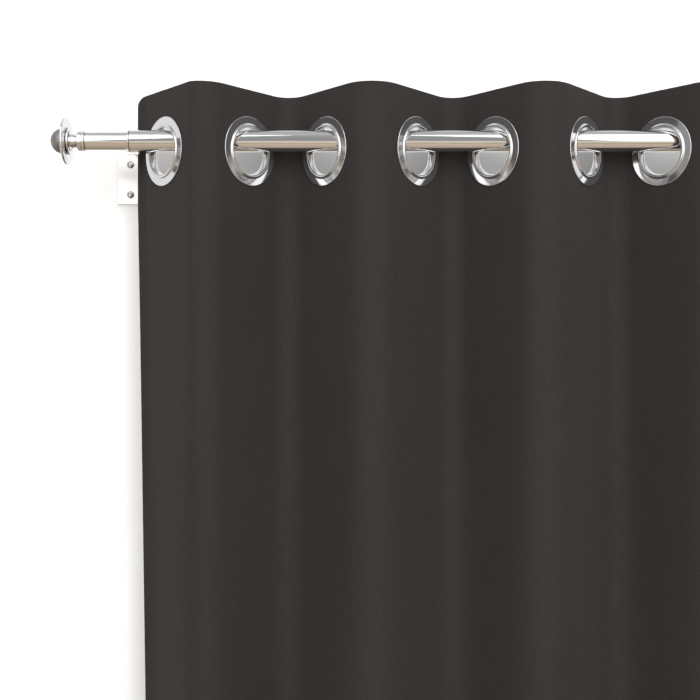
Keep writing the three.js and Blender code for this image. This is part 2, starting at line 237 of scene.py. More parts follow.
def cloth_material(name, dark, light, sheen):
    material, shader = new_material(name, Roughness=0.88, Sheen_Weight=sheen, Sheen_Roughness=0.45)
    shader.inputs["Specular IOR Level"].default_value = 0.18
    shader.inputs["Sheen Tint"].default_value = (0.75, 0.72, 0.70, 1)
    sheet = add_node(material, "ShaderNodeUVMap", uv_map="cloth").outputs["UV"]
    axes = add_node(material, "ShaderNodeSeparateXYZ", {"Vector": sheet})
    warp = thread_wave(material, axes.outputs["X"], THREAD_PITCH)
    weft = thread_wave(material, axes.outputs["Y"], THREAD_PITCH)
    weave = add_node(material, "ShaderNodeMath", {0: warp, 1: weft}, operation="MAXIMUM").outputs[0]
    down_threads = add_node(
        material, "ShaderNodeMapping", {"Vector": sheet, "Scale": (SLUB_ACROSS, SLUB_ALONG, 1)}
    )
    across_threads = add_node(
        material, "ShaderNodeMapping", {"Vector": sheet, "Scale": (SLUB_ALONG, SLUB_ACROSS, 1)}
    )
    warp_slub, weft_slub = [
        add_node(
            material, "ShaderNodeTexNoise", {"Vector": stretched.outputs[0], "Scale": 1.0, "Detail": 2.0}
        ).outputs["Fac"]
        for stretched in (down_threads, across_threads)
    ]
    slub = add_node(material, "ShaderNodeMath", {0: warp_slub, 1: weft_slub}, operation="ADD")
    patches = add_node(material, "ShaderNodeTexNoise", {"Vector": sheet, "Scale": 9.0, "Detail": 3.0})
    weighted = add_node(
        material, "ShaderNodeMath", {0: slub.outputs[0], 1: SLUB_SHARE, 2: 0.0}, operation="MULTIPLY_ADD"
    )
    mixed = add_node(
        material, "ShaderNodeMath", {0: patches.outputs["Fac"], 1: PATCH_SHARE, 2: weighted.outputs[0]},
        operation="MULTIPLY_ADD",
    )
    colours = ramp(material, mixed.outputs[0], [(0.36, dark), (0.62, light)])
    link(material, colours, shader.inputs["Base Color"])
    threads = bump(material, weave, 0.25, 0.0002)
    link(material, bump(material, slub.outputs[0], 0.25, 0.0004, threads), shader.inputs["Normal"])
    return material


charcoal = cloth_material("charcoal blackout cloth", (0.0178, 0.0153, 0.0148), (0.0236, 0.0204, 0.0199), 0.08)
print("cloth:", charcoal.name)

# %% [markdown]
# ## Turned pieces
#
# Tubes, eyelet rings, discs and screw heads are all turned or pressed round, so each is a profile spun
# about the X axis. The profile is a few points of distance along the axis and radius. Real edges are never
# knife sharp, so a bevel rounds every edge that turns more than a little, and a Weighted Normal modifier
# keeps the flats between the bevels looking flat.

# %% Helpers for turned and pressed pieces
ROUND_STEPS = 96
SHARP_TURN = math.radians(28)


def soften(bm, width, segments=3):
    """Rounds every edge where the surface turns sharply."""
    edges = [edge for edge in bm.edges if len(edge.link_faces) == 2 and edge.calc_face_angle(0) > SHARP_TURN]
    bmesh.ops.bevel(
        bm, geom=edges, offset=width, offset_type="OFFSET", segments=segments, profile=0.5,
        affect="EDGES", material=-1, clamp_overlap=True,
    )


def spun(profile, closed=False, steps=ROUND_STEPS, round_edges=0.0):
    """A bmesh spun about X from (along, radius) points; a closed profile makes a ring."""
    bm = bmesh.new()
    points = [bm.verts.new((along, 0, radius)) for along, radius in profile]
    pairs = list(zip(points, points[1:]))
    if closed:
        pairs.append((points[-1], points[0]))
    edges = [bm.edges.new(pair) for pair in pairs]
    bmesh.ops.spin(
        bm, geom=points + edges, cent=(0, 0, 0), axis=(1, 0, 0), dvec=(0, 0, 0), angle=math.tau,
        steps=steps, use_merge=True, use_normal_flip=False, use_duplicate=False,
    )
    bmesh.ops.remove_doubles(bm, verts=bm.verts, dist=1e-7)
    bmesh.ops.recalc_face_normals(bm, faces=bm.faces)
    if round_edges:
        soften(bm, round_edges)
    return bm


def arc(centre, radius, start, end, steps):
    """Profile points on an arc, with angles in degrees from the axis direction towards the radius."""
    points = []
    for step in range(steps + 1):
        angle = math.radians(start + (end - start) * step / steps)
        points.append((centre[0] + radius * math.cos(angle), centre[1] + radius * math.sin(angle)))
    return points


def finish_piece(name, bm, material, body, replaces=(), even_shading=True):
    """Turns a bmesh into a named piece that rides on a body and stands for frame nodes."""
    mesh = bpy.data.meshes.new(name)
    bm.to_mesh(mesh)
    bm.free()
    mesh.polygons.foreach_set("use_smooth", [True] * len(mesh.polygons))
    mesh.materials.append(material)
    piece = bpy.data.objects.new(name, mesh)
    scene.collection.objects.link(piece)
    if even_shading:
        shading = piece.modifiers.new("even shading", "WEIGHTED_NORMAL")
        shading.keep_sharp = True
    if body:
        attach(piece, body)
    if replaces:
        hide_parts(*replaces)
    return piece


def placed(bm, *matrices):
    """Moves a bmesh by matrices, the first one applied first."""
    for matrix in matrices:
        bm.transform(matrix)
    return bm


# %% [markdown]
# ## The pole
#
# The pole is two thin steel tubes, the smaller sliding in the larger, so that one pole fits many windows.
# Each tube's end is cut square and deburred, which leaves a small round edge that catches the light. The
# outer tube has a fine groove rolled in beside its mouth, and its floor is painted as a dark line of shade:
# a few of the tube's own faces get a second, near-black material that stands for the shadow in the groove. A
# short plastic bush just inside the mouth of the outer tube takes up the gap between the two.

# %% Pole
TUBE_STEPS = 128
TUBE_WALL = 0.0008
DEBURR = 0.00035
FINE_DEBURR = 0.0001
MOUTH_LEDGE = 0.0007        # from the mouth to the groove's near edge
GROOVE_DEPTH = 0.0004
GROOVE_NEAR_FOOT = 0.0001   # along the pole, from the groove's near edge
GROOVE_FAR_FOOT = 0.0006
GROOVE_WIDTH = 0.0007


def tube_piece(node, material, body, grooved=False):
    low, high = box_of(node)
    radius = (high.z - low.z) / 2
    profile = [(low.x, radius - TUBE_WALL), (low.x, radius)]
    if grooved:
        ledge = low.x + MOUTH_LEDGE
        floor_radius = radius - GROOVE_DEPTH
        profile += [(ledge, radius), (ledge + GROOVE_NEAR_FOOT, floor_radius)]
        profile += [(ledge + GROOVE_FAR_FOOT, floor_radius), (ledge + GROOVE_WIDTH, radius)]
    profile += [(high.x, radius), (high.x, radius - TUBE_WALL)]
    bm = spun(profile, closed=True, steps=TUBE_STEPS, round_edges=FINE_DEBURR if grooved else DEBURR)
    placed(bm, Matrix.Translation((0, pole_y, pole_z)))
    return finish_piece(f"{node}_polished", bm, material, body, [node])


outer_tube = tube_piece("outer_tube", chrome, "pole", grooved=True)
inner_tube = tube_piece("inner_tube", chrome, "inner_rod")

# %% The groove's painted shade line and the bush
def grained(name, colour, roughness, grain_scale, grain_depth):
    """A plain matt material with a fine grain in its surface."""
    material, shader = new_material(name, Roughness=roughness, Base_Color=(*colour, 1))
    grain = add_node(
        material, "ShaderNodeTexNoise",
        {"Vector": object_coordinates(material), "Scale": grain_scale, "Detail": 2.0},
    )
    link(material, bump(material, grain.outputs["Fac"], 0.2, grain_depth), shader.inputs["Normal"])
    return material


EDGE_MARGIN = 0.00005       # keeps the groove's two rims and the tube's bore out of the choice
# painted shade: the groove's floor gets a near-black material that stands for the shadow line in the groove
groove_painted_shade = grained("painted shade line in the groove", (0.045, 0.043, 0.042), 0.6, 1200.0, 0.0001)
outer_tube.data.materials.append(groove_painted_shade)
groove_start = tube_low.x + MOUTH_LEDGE
skin_radius = (tube_high.z - tube_low.z) / 2
for face in outer_tube.data.polygons:
    in_groove = EDGE_MARGIN < face.center.x - groove_start < GROOVE_WIDTH - EDGE_MARGIN
    reach = math.hypot(face.center.y - pole_y, face.center.z - pole_z)
    if in_groove and reach > skin_radius - GROOVE_DEPTH - EDGE_MARGIN:
        face.material_index = 1
painted_shade_faces = sum(face.material_index for face in outer_tube.data.polygons)

bush_plastic = grained("moulded nylon", (0.82, 0.80, 0.77), 0.5, 900.0, 0.0002)
frame["nodes"]["tube_slide_bush"].data.materials.clear()
frame["nodes"]["tube_slide_bush"].data.materials.append(bush_plastic)
print("pole:", outer_tube.name, inner_tube.name, "dark faces in the groove:", painted_shade_faces)

# %% [markdown]
# ## The eyelets
#
# A curtain eyelet is a pair of rings. The front ring has a flat flange with a rounded edge, a round bead
# about the hole, and a barrel that goes through the cloth; the back ring snaps over the barrel. Spinning
# one profile for each gives both, and the bead is an arc in the profile, because its even highlight is what
# makes an eyelet look pressed from one sheet. The frame says where each eyelet is and how it is turned.

# %% Eyelets
EYELET_COUNT = 8
FOLD_ANGLE = math.radians(50)
HOLE_RADIUS = 0.0200
HOLE_LIP_RADIUS = 0.0209
BEAD_OUTER_RADIUS = 0.0241
FLANGE_RADIUS = 0.0307
EDGE_ROUND = 0.0005
BARREL_RADIUS = 0.0226
CLOTH_HALF = 0.0009
RING_HALF_DEPTH = 0.0037
FLANGE_THICKNESS = 0.0010
UNDERSIDE = CLOTH_HALF + 0.0001     # where the flange lies, just off the cloth
BEAD_STEPS = 18


def slant(number):
    """1 where the fold that carries the eyelet slants to the room at its right, or -1."""
    return 1 if number % 2 else -1


def eyelet_centre(number):
    low, high = box_of(f"eyelet_front_{number}", f"eyelet_back_{number}")
    return (low + high) / 2


def ring_profile(reach):
    """The pressed sheet from the flange's underside, over its edge and the bead, to the hole."""
    flange_top = UNDERSIDE + FLANGE_THICKNESS
    profile = [(UNDERSIDE, BARREL_RADIUS + 0.0006), (UNDERSIDE, FLANGE_RADIUS)]
    profile += arc((flange_top - EDGE_ROUND, FLANGE_RADIUS - EDGE_ROUND), EDGE_ROUND, 90, 0, 6)
    bead_base = flange_top + 0.0002
    profile += [(bead_base, BEAD_OUTER_RADIUS + 0.0007)]
    middle = (HOLE_LIP_RADIUS + BEAD_OUTER_RADIUS) / 2
    half_width = (BEAD_OUTER_RADIUS - HOLE_LIP_RADIUS) / 2
    for step in range(BEAD_STEPS + 1):
        angle = math.pi * (0.03 + 0.97 * step / BEAD_STEPS)
        height = (reach - bead_base) * math.sin(angle)
        profile.append((bead_base + height, middle + half_width * math.cos(angle)))
    return profile


def front_ring_bm():
    """Room side at +X: the flange and bead, then the barrel back through the cloth."""
    profile = ring_profile(RING_HALF_DEPTH)
    barrel_end = -RING_HALF_DEPTH * 0.85
    barrel = [(0.0, HOLE_RADIUS), (-RING_HALF_DEPTH * 0.6, HOLE_RADIUS + 0.0002)]
    barrel += [(barrel_end, HOLE_RADIUS + 0.0008), (barrel_end, BARREL_RADIUS)]
    barrel += [(UNDERSIDE, BARREL_RADIUS)]
    return spun(profile + barrel, closed=True)


def back_ring_bm():
    """Wall side at +X: the same flange and bead, open for the barrel."""
    opening = BARREL_RADIUS + 0.0003
    cut = [(along, max(radius, opening)) for along, radius in ring_profile(RING_HALF_DEPTH)]
    return spun(cut + [(UNDERSIDE, opening)], closed=True)


def eyelet_turn(number, to_room):
    """The turn that lays a ring's +X side on the room side, or on the wall side, of its fold."""
    towards_room = -math.pi / 2 - slant(number) * FOLD_ANGLE
    return Matrix.Rotation(towards_room + (0 if to_room else math.pi), 4, "Z")


eyelets = []
for number in range(1, EYELET_COUNT + 1):
    place = Matrix.Translation(eyelet_centre(number))
    for half, build, to_room in (("front", front_ring_bm, True), ("back", back_ring_bm, False)):
        bm = placed(build(), eyelet_turn(number, to_room), place)
        eyelets.append(
            finish_piece(
                f"eyelet_{half}_ring_{number}", bm, eyelet_chrome, f"fold_{number}",
                [f"eyelet_{half}_{number}"],
            )
        )
places = [round(eyelet_centre(number).x, 4) for number in range(1, EYELET_COUNT + 1)]
print("eyelets:", len(eyelets), "rings at", places)

# %% [markdown]
# ## The finials
#
# Each finial is four turned pieces on one stud: a grooved collar with a flared neck, a small disc, a large
# thin disc and a dome. They are spun from the same profiles at both ends of the pole, and only the collar's
# radius differs, because the outer tube is thicker than the inner one.

# %% Finials
NECK_LENGTH = 0.0062
HEAD_LENGTH = 0.0070
SPIGOT_INSET = 0.0020       # how much thinner the collar's spigot is than its head
DOME_STEPS = 14
DOME_LIP = 0.0006
FINIAL_ROUND = 0.00018


def finial(side, body):
    """The four pieces, drawn outward along +X from the tube's end and turned round for the left side."""
    dome_low, dome_high = box_of(f"{side}_finial_dome")
    outward = 1 if side == "right" else -1
    tip = dome_high.x if outward > 0 else dome_low.x
    turn = Matrix.Identity(4) if outward > 0 else Matrix.Rotation(math.pi, 4, "Z")
    place = Matrix.Translation((0, pole_y, pole_z))

    def span(piece):
        low, high = box_of(f"{side}_finial_{piece}")
        near, far = sorted((low.x * outward, high.x * outward))
        return near, far, (high.z - low.z) / 2

    spigot, collar_end, collar_radius = span("collar")
    near, far, small_radius = span("small_disc")
    large_near, large_far, large_radius = span("large_disc")
    _, dome_tip, dome_radius = span("dome")
    neck_start = collar_end - NECK_LENGTH
    face = neck_start - HEAD_LENGTH
    bore = collar_radius - SPIGOT_INSET
    collar = [
        (spigot, 0), (spigot, bore - 0.0008), (face, bore - 0.0008), (face, collar_radius),
        (face + 0.0018, collar_radius), (face + 0.0021, collar_radius - 0.0009),
        (face + 0.0027, collar_radius - 0.0009), (face + 0.0030, collar_radius),
        (neck_start - 0.0008, collar_radius - 0.0003), (neck_start, collar_radius - 0.0020),
    ]
    collar += [(neck_start + 0.0012, 0.0060), (neck_start + 0.0030, 0.0057), (neck_start + 0.0047, 0.0066)]
    collar += [(collar_end, 0.0092), (collar_end, 0.0)]
    small = [(near, 0), (near, small_radius - 0.0004), (near + 0.0006, small_radius)]
    small += [(far - 0.0006, small_radius - 0.0001), (far, small_radius - 0.0007), (far, 0)]
    large = [(large_near, 0), (large_near, large_radius - 0.0045)]
    large += [(large_near + 0.0004, large_radius - 0.0040), (large_near + 0.0004, large_radius - 0.0008)]
    large += arc(((large_near + large_far) / 2, large_radius - 0.0012), 0.0011, 150, 30, 6)
    large += [(large_far - 0.0003, large_radius - 0.0012), (large_far, large_radius - 0.0050), (large_far, 0)]
    base = large_far + 0.0002
    dome = [(base, 0), (base, dome_radius - DOME_LIP), (base + DOME_LIP, dome_radius)]
    for step in range(1, DOME_STEPS):
        angle = math.pi / 2 * step / DOME_STEPS
        along = base + DOME_LIP + (dome_tip - base - DOME_LIP) * math.sin(angle)
        dome.append((along, dome_radius * math.cos(angle) ** 0.9))
    dome.append((dome_tip, 0))
    parts = {"collar": (collar, chrome), "small_disc": (small, chrome), "large_disc": (large, chrome)}
    parts["dome"] = (dome, satin_steel)
    made = []
    for piece, (profile, material) in parts.items():
        bm = placed(spun(profile, round_edges=FINIAL_ROUND), turn, place)
        name = f"{side}_finial_{piece}_turned"
        made.append(finish_piece(name, bm, material, body, [f"{side}_finial_{piece}"]))
    print(side, "finial:", len(made), "pieces, tip at", round(tip, 4))


finial("left", "left_finial")
finial("right", "right_finial")

# %% [markdown]
# ## The brackets
#
# A wall bracket here is a pressed plate, an arm and an open hook that the tube drops into. The plate
# starts as a cube that is scaled to size, its four corners are rounded with one bevel and its edges with a
# second, finer one. The hook is a small rectangle spun part of a turn, which is how a strip is rolled.

# %% Helpers for pressed pieces
def block(low, high, corner_axis=None, corner=0.0, edge=0.0004):
    """A box between two corners, with the corners about one axis rounded and every edge softened."""
    size = high - low
    bm = bmesh.new()
    bmesh.ops.create_cube(bm, size=1.0)
    bm.transform(Matrix.Translation((low + high) / 2) @ Matrix.Diagonal((*size, 1)))
    if corner_axis is not None:
        along = [
            edge for edge in bm.edges
            if abs((edge.verts[0].co - edge.verts[1].co)[corner_axis]) > size[corner_axis] / 2
        ]
        bmesh.ops.bevel(
            bm, geom=along, offset=corner, offset_type="OFFSET", segments=8, profile=0.5,
            affect="EDGES", material=-1, clamp_overlap=True,
        )
    sharp = [edge for edge in bm.edges if edge.calc_face_angle(0) > math.radians(40)]
    bmesh.ops.bevel(
        bm, geom=sharp, offset=edge, offset_type="OFFSET", segments=3, profile=0.5,
        affect="EDGES", material=-1, clamp_overlap=True,
    )
    return bm


def cross_head(radius, height, steps=56):
    """A domed screw head that faces +X, with a cross recess pressed into it."""
    bm = bmesh.new()
    bmesh.ops.create_grid(bm, x_segments=steps, y_segments=steps, size=1.0)
    arm_width = 0.15
    arm_reach = 0.58
    softness = 0.10
    recess = 0.62 * height
    for vert in bm.verts:
        a, b = vert.co.x, vert.co.y
        across = a * math.sqrt(1 - b * b / 2)
        up = b * math.sqrt(1 - a * a / 2)
        dome = 1 - 0.75 * (across * across + up * up) ** 1.4
        narrow = min(abs(across), abs(up))
        wide = max(abs(across), abs(up))
        inside = min((arm_width - narrow) / softness, (arm_reach - wide) / softness) + 0.5
        inside = min(max(inside, 0.0), 1.0)
        vert.co = (height * dome - recess * inside * inside * (3 - 2 * inside), across * radius, up * radius)
    rim = [edge for edge in bm.edges if edge.is_boundary]
    skirt = bmesh.ops.extrude_edge_only(bm, edges=rim)["geom"]
    for vert in [item for item in skirt if isinstance(item, bmesh.types.BMVert)]:
        vert.co.x = 0.0
    bmesh.ops.contextual_create(bm, geom=[edge for edge in bm.edges if edge.is_boundary])
    bmesh.ops.recalc_face_normals(bm, faces=bm.faces)
    return bm


# %% Brackets
HOOK_START = 32.0           # degrees about the pole
HOOK_SWEEP = 150.0
HOOK_THICKNESS = 0.0022
HOOK_STEPS = 40
WALL_SCREW_HEAD = 0.0022


def bracket(side):
    plate_low, plate_high = box_of(f"{side}_wall_plate")
    plate = block(plate_low, plate_high, corner_axis=1, corner=0.0012, edge=0.0005)
    finish_piece(
        f"{side}_pressed_plate", plate, bracket_plate, "pole", [f"{side}_wall_plate"]
    )

    arm_low, arm_high = box_of(f"{side}_arm")
    finish_piece(
        f"{side}_bracket_arm", block(arm_low, arm_high, edge=0.0006), bracket_plate, "pole",
        [f"{side}_arm"],
    )

    hook_low, hook_high = box_of(f"{side}_cradle")
    outer = pole_z - hook_low.z
    inner = outer - HOOK_THICKNESS
    bm = bmesh.new()
    section = [(hook_low.x, inner), (hook_high.x, inner), (hook_high.x, outer), (hook_low.x, outer)]
    bm.faces.new([bm.verts.new((along, 0, radius)) for along, radius in section])
    bm.transform(Matrix.Rotation(math.radians(-HOOK_START), 4, "X"))
    bmesh.ops.spin(
        bm, geom=list(bm.verts) + list(bm.edges) + list(bm.faces), cent=(0, 0, 0), axis=(1, 0, 0),
        dvec=(0, 0, 0), angle=math.radians(-HOOK_SWEEP), steps=HOOK_STEPS, use_merge=False,
        use_normal_flip=False, use_duplicate=False,
    )
    bmesh.ops.recalc_face_normals(bm, faces=bm.faces)
    soften(bm, 0.0005)
    bm.transform(Matrix.Translation((0, pole_y, pole_z)))
    finish_piece(f"{side}_rolled_hook", bm, bracket_plate, "pole", [f"{side}_cradle"])

    for number in (1, 2):
        node = f"{side}_wall_screw_{number}"
        low, high = box_of(node)
        radius = (high.x - low.x) / 2
        seat = Vector(((low.x + high.x) / 2, low.y + WALL_SCREW_HEAD, (low.z + high.z) / 2))
        tilt = Matrix.Rotation(math.radians(17 + 31 * number), 4, "X")      # no two stop at the same angle
        to_room = Matrix.Rotation(-math.pi / 2, 4, "Z")
        bm = placed(cross_head(radius, WALL_SCREW_HEAD), tilt, to_room, Matrix.Translation(seat))
        finish_piece(f"{node}_head", bm, screw_steel, "pole", [node], even_shading=False)


for side in ("left", "right"):
    bracket(side)
print("brackets: a plate, an arm, a hook and two screws at each side")

# %% [markdown]
# A small screw through the back of each hook clamps the tube. It is the same cross head on a threaded
# shank, and it rides on its own body because it backs out when the pole is taken down.

# %% Clamp screws
CLAMP_HEAD = 0.0026
SCREW_PITCH = 0.0005
SCREW_CREST = 0.0015
SCREW_ROOT = 0.00125


def clamp_screw(side):
    node = f"{side}_clamp_screw"
    low, high = box_of(node)
    radius = (high.z - low.z) / 2
    middle = Vector(((low.x + high.x) / 2, high.y - CLAMP_HEAD, (low.z + high.z) / 2))
    turn = Matrix.Rotation(math.pi / 2, 4, "Z")
    place = Matrix.Translation(middle)
    head = placed(cross_head(radius, CLAMP_HEAD), turn, place)
    length = high.y - CLAMP_HEAD - low.y
    thread = [(0.0, 0.0), (0.0, SCREW_CREST)]
    turns = int(length / SCREW_PITCH)
    for step in range(turns):
        start = -step * length / turns
        thread += [(start - length / turns / 2, SCREW_ROOT), (start - length / turns, SCREW_CREST)]
    thread += [(-length, 0.0)]
    shank = placed(spun(thread, steps=32), turn, place)
    for half, bm in (("head", head), ("shank", shank)):
        finish_piece(
            f"{node}_{half}", bm, screw_steel, f"{side}_clamp", [node], even_shading=False
        )


for side in ("left", "right"):
    clamp_screw(side)
print("clamp screws: a head and a threaded shank at each side")

# %% [markdown]
# ## How the cloth runs
#
# Seen from above, the header is a chain of straight and bent lengths. It is straight where an eyelet holds
# it flat, at fifty degrees to the pole, and it bends round at each crest and valley. The bend's radius
# follows from the room between two eyelets and from how far the crest stands out, so both are worked out
# here from the frame. The edges reach a little past the first and the last eyelet. Further down nothing
# holds the cloth flat, so the same line is smoothed into a softer wave, and the two are mixed by height.

# %% The cloth's line from above
STEP = 0.0005
SIDE_REACH = 0.0296         # along the pole, from the outer eyelets' centres to the cloth's edges
hinge_of = {number: Vector(joints[f"fold_{number}_turns"]["pos_m"]) for number in range(2, EYELET_COUNT + 1)}
cloth_top = box_of("fabric_fold_1")[1].z
cloth_bottom = box_of("fabric_fold_1")[0].z
CLOTH_DROP = cloth_top - cloth_bottom
CAD_HALF_THICKNESS = 0.0015


def half_gap(span, depth):
    """The straight length and the bend radius that reach a crest at a span and a depth."""
    radius = (span * math.sin(FOLD_ANGLE) - depth * math.cos(FOLD_ANGLE)) / (1 - math.cos(FOLD_ANGLE))
    return (span - radius * math.sin(FOLD_ANGLE)) / math.cos(FOLD_ANGLE), radius


def half_gap_points(span, depth):
    """Points from an eyelet to the crest beside it: distance along the cloth, along the pole, and out."""
    straight, radius = half_gap(span, depth)
    length = straight + radius * FOLD_ANGLE
    walk = np.linspace(0, length, max(8, round(length / STEP)))
    bent = np.clip(walk - straight, 0, None) / radius
    flat = np.minimum(walk, straight)
    along = flat * math.cos(FOLD_ANGLE) + radius * (math.sin(FOLD_ANGLE) - np.sin(FOLD_ANGLE - bent))
    out = flat * math.sin(FOLD_ANGLE) + radius * (np.cos(FOLD_ANGLE - bent) - math.cos(FOLD_ANGLE))
    return walk, along, out


# %% The whole line, from the left edge through the eight eyelets to the right edge
HANG_SOFTNESS = 0.012       # how widely the line is smoothed below the header

walks = []
alongs = []
outs = []
seams = []
back_depth = hinge_of[3].y - CAD_HALF_THICKNESS - pole_y
edge_walk, edge_along, edge_out = half_gap_points(hinge_of[3].x - eyelet_centre(2).x, back_depth)
inside = edge_along <= SIDE_REACH
edge_walk, edge_along, edge_out = edge_walk[inside], edge_along[inside], edge_out[inside]
first = eyelet_centre(1)
walks.append(edge_walk[-1] - edge_walk[::-1])
alongs.append(first.x - edge_along[::-1])
outs.append(pole_y + edge_out[::-1])
total = float(edge_walk[-1])
seams.append(total)
for number in range(1, EYELET_COUNT):
    here = eyelet_centre(number)
    there = eyelet_centre(number + 1)
    hinge = hinge_of[number + 1]
    towards_wall = 1 if hinge.y > pole_y else -1
    depth = abs(hinge.y - pole_y) - CAD_HALF_THICKNESS
    walk, along, out = half_gap_points(hinge.x - here.x, depth)
    walks.append(total + walk)
    alongs.append(here.x + along)
    outs.append(pole_y + towards_wall * out)
    total += float(walk[-1])
    walk, along, out = half_gap_points(there.x - hinge.x, depth)
    walks.append(total + walk[-1] - walk[::-1])
    alongs.append(there.x - along[::-1])
    outs.append(pole_y + towards_wall * out[::-1])
    total += float(walk[-1])
    seams.append(total)
last = eyelet_centre(EYELET_COUNT)
walks.append(total + edge_walk)
alongs.append(last.x + edge_along)
outs.append(pole_y + edge_out)
total += float(edge_walk[-1])
CLOTH_WIDTH = total

even_walk = np.arange(0, CLOTH_WIDTH + STEP / 2, STEP)
header_x = np.interp(even_walk, np.concatenate(walks), np.concatenate(alongs))
header_y = np.interp(even_walk, np.concatenate(walks), np.concatenate(outs))


def softened(values, reach):
    """A running average with a bell-shaped weight, with the ends carried on in a straight line."""
    count = int(3 * reach / STEP)
    kernel = np.exp(-0.5 * (np.arange(-count, count + 1) * STEP / reach) ** 2)
    steps = np.arange(1, count + 1)
    before = values[0] - (values[1] - values[0]) * steps[::-1]
    after = values[-1] + (values[-1] - values[-2]) * steps
    return np.convolve(np.concatenate([before, values, after]), kernel / kernel.sum(), mode="valid")


hang_x = softened(header_x, HANG_SOFTNESS)
hang_y = softened(header_y, HANG_SOFTNESS)
print("cloth: flat width", round(CLOTH_WIDTH, 4), "drop", round(CLOTH_DROP, 4))
print("seams at", [round(seam, 4) for seam in seams])

# %% [markdown]
# ## The cloth
#
# A fold turns with its eyelet, so the cloth has to bend between one fold and the next when the curtain is
# drawn. The panel is therefore cut into lengths at the eyelets' centre lines, where it is held flat and
# never bends; the two end lengths ride on their outer folds, and each length between two folds stays fixed
# where it hangs. Every length is a grid that is mapped onto the cloth's line, given its thickness, thickened
# again on the wall side where a hem is folded over, and softened round its outer edges. The extra columns
# close to a seam keep the shading from changing there.

# %% Cloth measures
CLOTH_THICKNESS = 2 * CLOTH_HALF
HEM_FOLD = 0.0007
SIDE_HEM = 0.025
HEADER_HEM = 0.100
BOTTOM_HEM = 0.090
STITCH_INSET = 0.0022
STITCH_DIP = 0.00008
CORNER_RADIUS = 0.009
CLOTH_HOLE = 0.0255
COLUMN_PITCH = 0.0025
HEADER_ROWS_TO = 0.150
HANG_FROM = 0.10
HANG_BY = 0.50
EDGE_DRIFT = 0.011
DRIFT_FADE = 0.55           # down the cloth, and EDGE_FADE in from its edges
EDGE_FADE = 0.05
SWAY_FULL_AT = 0.5
TOP_ZONE = 0.03             # the rows over which a rounded corner's fall fades out
LOWER_ROW_PITCH = 0.018


def smooth_step(value):
    value = min(max(value, 0.0), 1.0)
    return value * value * (3 - 2 * value)


def stations(start, end, pitch, extras):
    """Even positions from start to end, with the extras put in and the even ones too near them left out."""
    count = max(2, round((end - start) / pitch))
    even = [start + (end - start) * step / count for step in range(count + 1)]
    wanted = [extra for extra in extras if start < extra < end]
    kept = [p for p in even[1:-1] if all(abs(p - extra) > pitch * 0.3 for extra in wanted)]
    return sorted([start, end] + kept + wanted)


def stitch_stations(line):
    return [line - 0.0006, line, line + 0.0006]


def fold_stations(line):
    return [line - 0.0004, line + 0.0004]


# %% Cloth shape
def corner_drop(u):
    """How far the top edge falls at a rounded corner."""
    inset = max(min(u, CLOTH_WIDTH - u), 0.0)
    if inset >= CORNER_RADIUS:
        return 0.0
    return CORNER_RADIUS - math.sqrt(CORNER_RADIUS**2 - (CORNER_RADIUS - inset) ** 2)


def cloth_point(u, v):
    """Where the middle of the cloth hangs, u across it and v down from its top edge."""
    loose = smooth_step((v - HANG_FROM) / (HANG_BY - HANG_FROM))
    x = np.interp(u, even_walk, header_x) * (1 - loose) + np.interp(u, even_walk, hang_x) * loose
    y = np.interp(u, even_walk, header_y) * (1 - loose) + np.interp(u, even_walk, hang_y) * loose
    far = max(v - HANG_FROM, 0.0)
    sway = 0.0012 * math.sin(far * 2.3 + u * 11) + 0.0008 * math.sin(far * 4.1 - u * 17)
    swell = 0.0016 * math.sin(far * 1.7 + u * 7 + 1.0) + 0.0010 * math.sin(far * 5.3 + u * 23)
    x += sway * min(far / SWAY_FULL_AT, 1.0)
    y += swell * min(far / SWAY_FULL_AT, 1.0)
    drift = EDGE_DRIFT * (1 - math.exp(-far / DRIFT_FADE))
    x += drift * math.exp(-u / EDGE_FADE) - drift * math.exp(-(CLOTH_WIDTH - u) / EDGE_FADE)
    fall = corner_drop(u)
    hung = fall + v * (1 - fall / TOP_ZONE) if v < TOP_ZONE else v
    return Vector((x, y, cloth_top - hung))


def in_hem(u, v):
    """True where the cloth is folded over on its wall side."""
    return (
        u < SIDE_HEM or u > CLOTH_WIDTH - SIDE_HEM or v < HEADER_HEM or v > CLOTH_DROP - BOTTOM_HEM
    )


def stitch_depth(u, v):
    """How far the thread pulls the cloth in along the four stitched lines."""
    lines = [
        abs(u - SIDE_HEM + STITCH_INSET), abs(u - CLOTH_WIDTH + SIDE_HEM - STITCH_INSET),
        abs(v - HEADER_HEM + STITCH_INSET), abs(v - CLOTH_DROP + BOTTOM_HEM - STITCH_INSET),
    ]
    return STITCH_DIP if min(lines) < 0.0002 else 0.0


# %% Where the cloth's rows and columns fall
side_extras = fold_stations(SIDE_HEM) + stitch_stations(SIDE_HEM - STITCH_INSET)
side_extras += [CLOTH_WIDTH - extra for extra in side_extras]
side_extras += [0.0015, 0.0035, CLOTH_WIDTH - 0.0015, CLOTH_WIDTH - 0.0035]
row_extras = fold_stations(HEADER_HEM) + stitch_stations(HEADER_HEM - STITCH_INSET)
bottom_extras = fold_stations(BOTTOM_HEM) + stitch_stations(BOTTOM_HEM - STITCH_INSET)
row_extras += [CLOTH_DROP - extra for extra in bottom_extras]
row_extras += [0.0012, CLOTH_DROP - 0.0012, CLOTH_DROP - 0.004]
header_rows = stations(0.0, HEADER_ROWS_TO, COLUMN_PITCH, row_extras)
lower_rows = stations(HEADER_ROWS_TO, CLOTH_DROP, LOWER_ROW_PITCH, row_extras)
rows = header_rows + lower_rows[1:]
eyelet_v = cloth_top - eyelet_centre(1).z
print("rows:", len(rows), "eyelets", round(eyelet_v, 4), "below the top edge")


# %% One length of cloth
CLOTH_ROUND = 0.0006


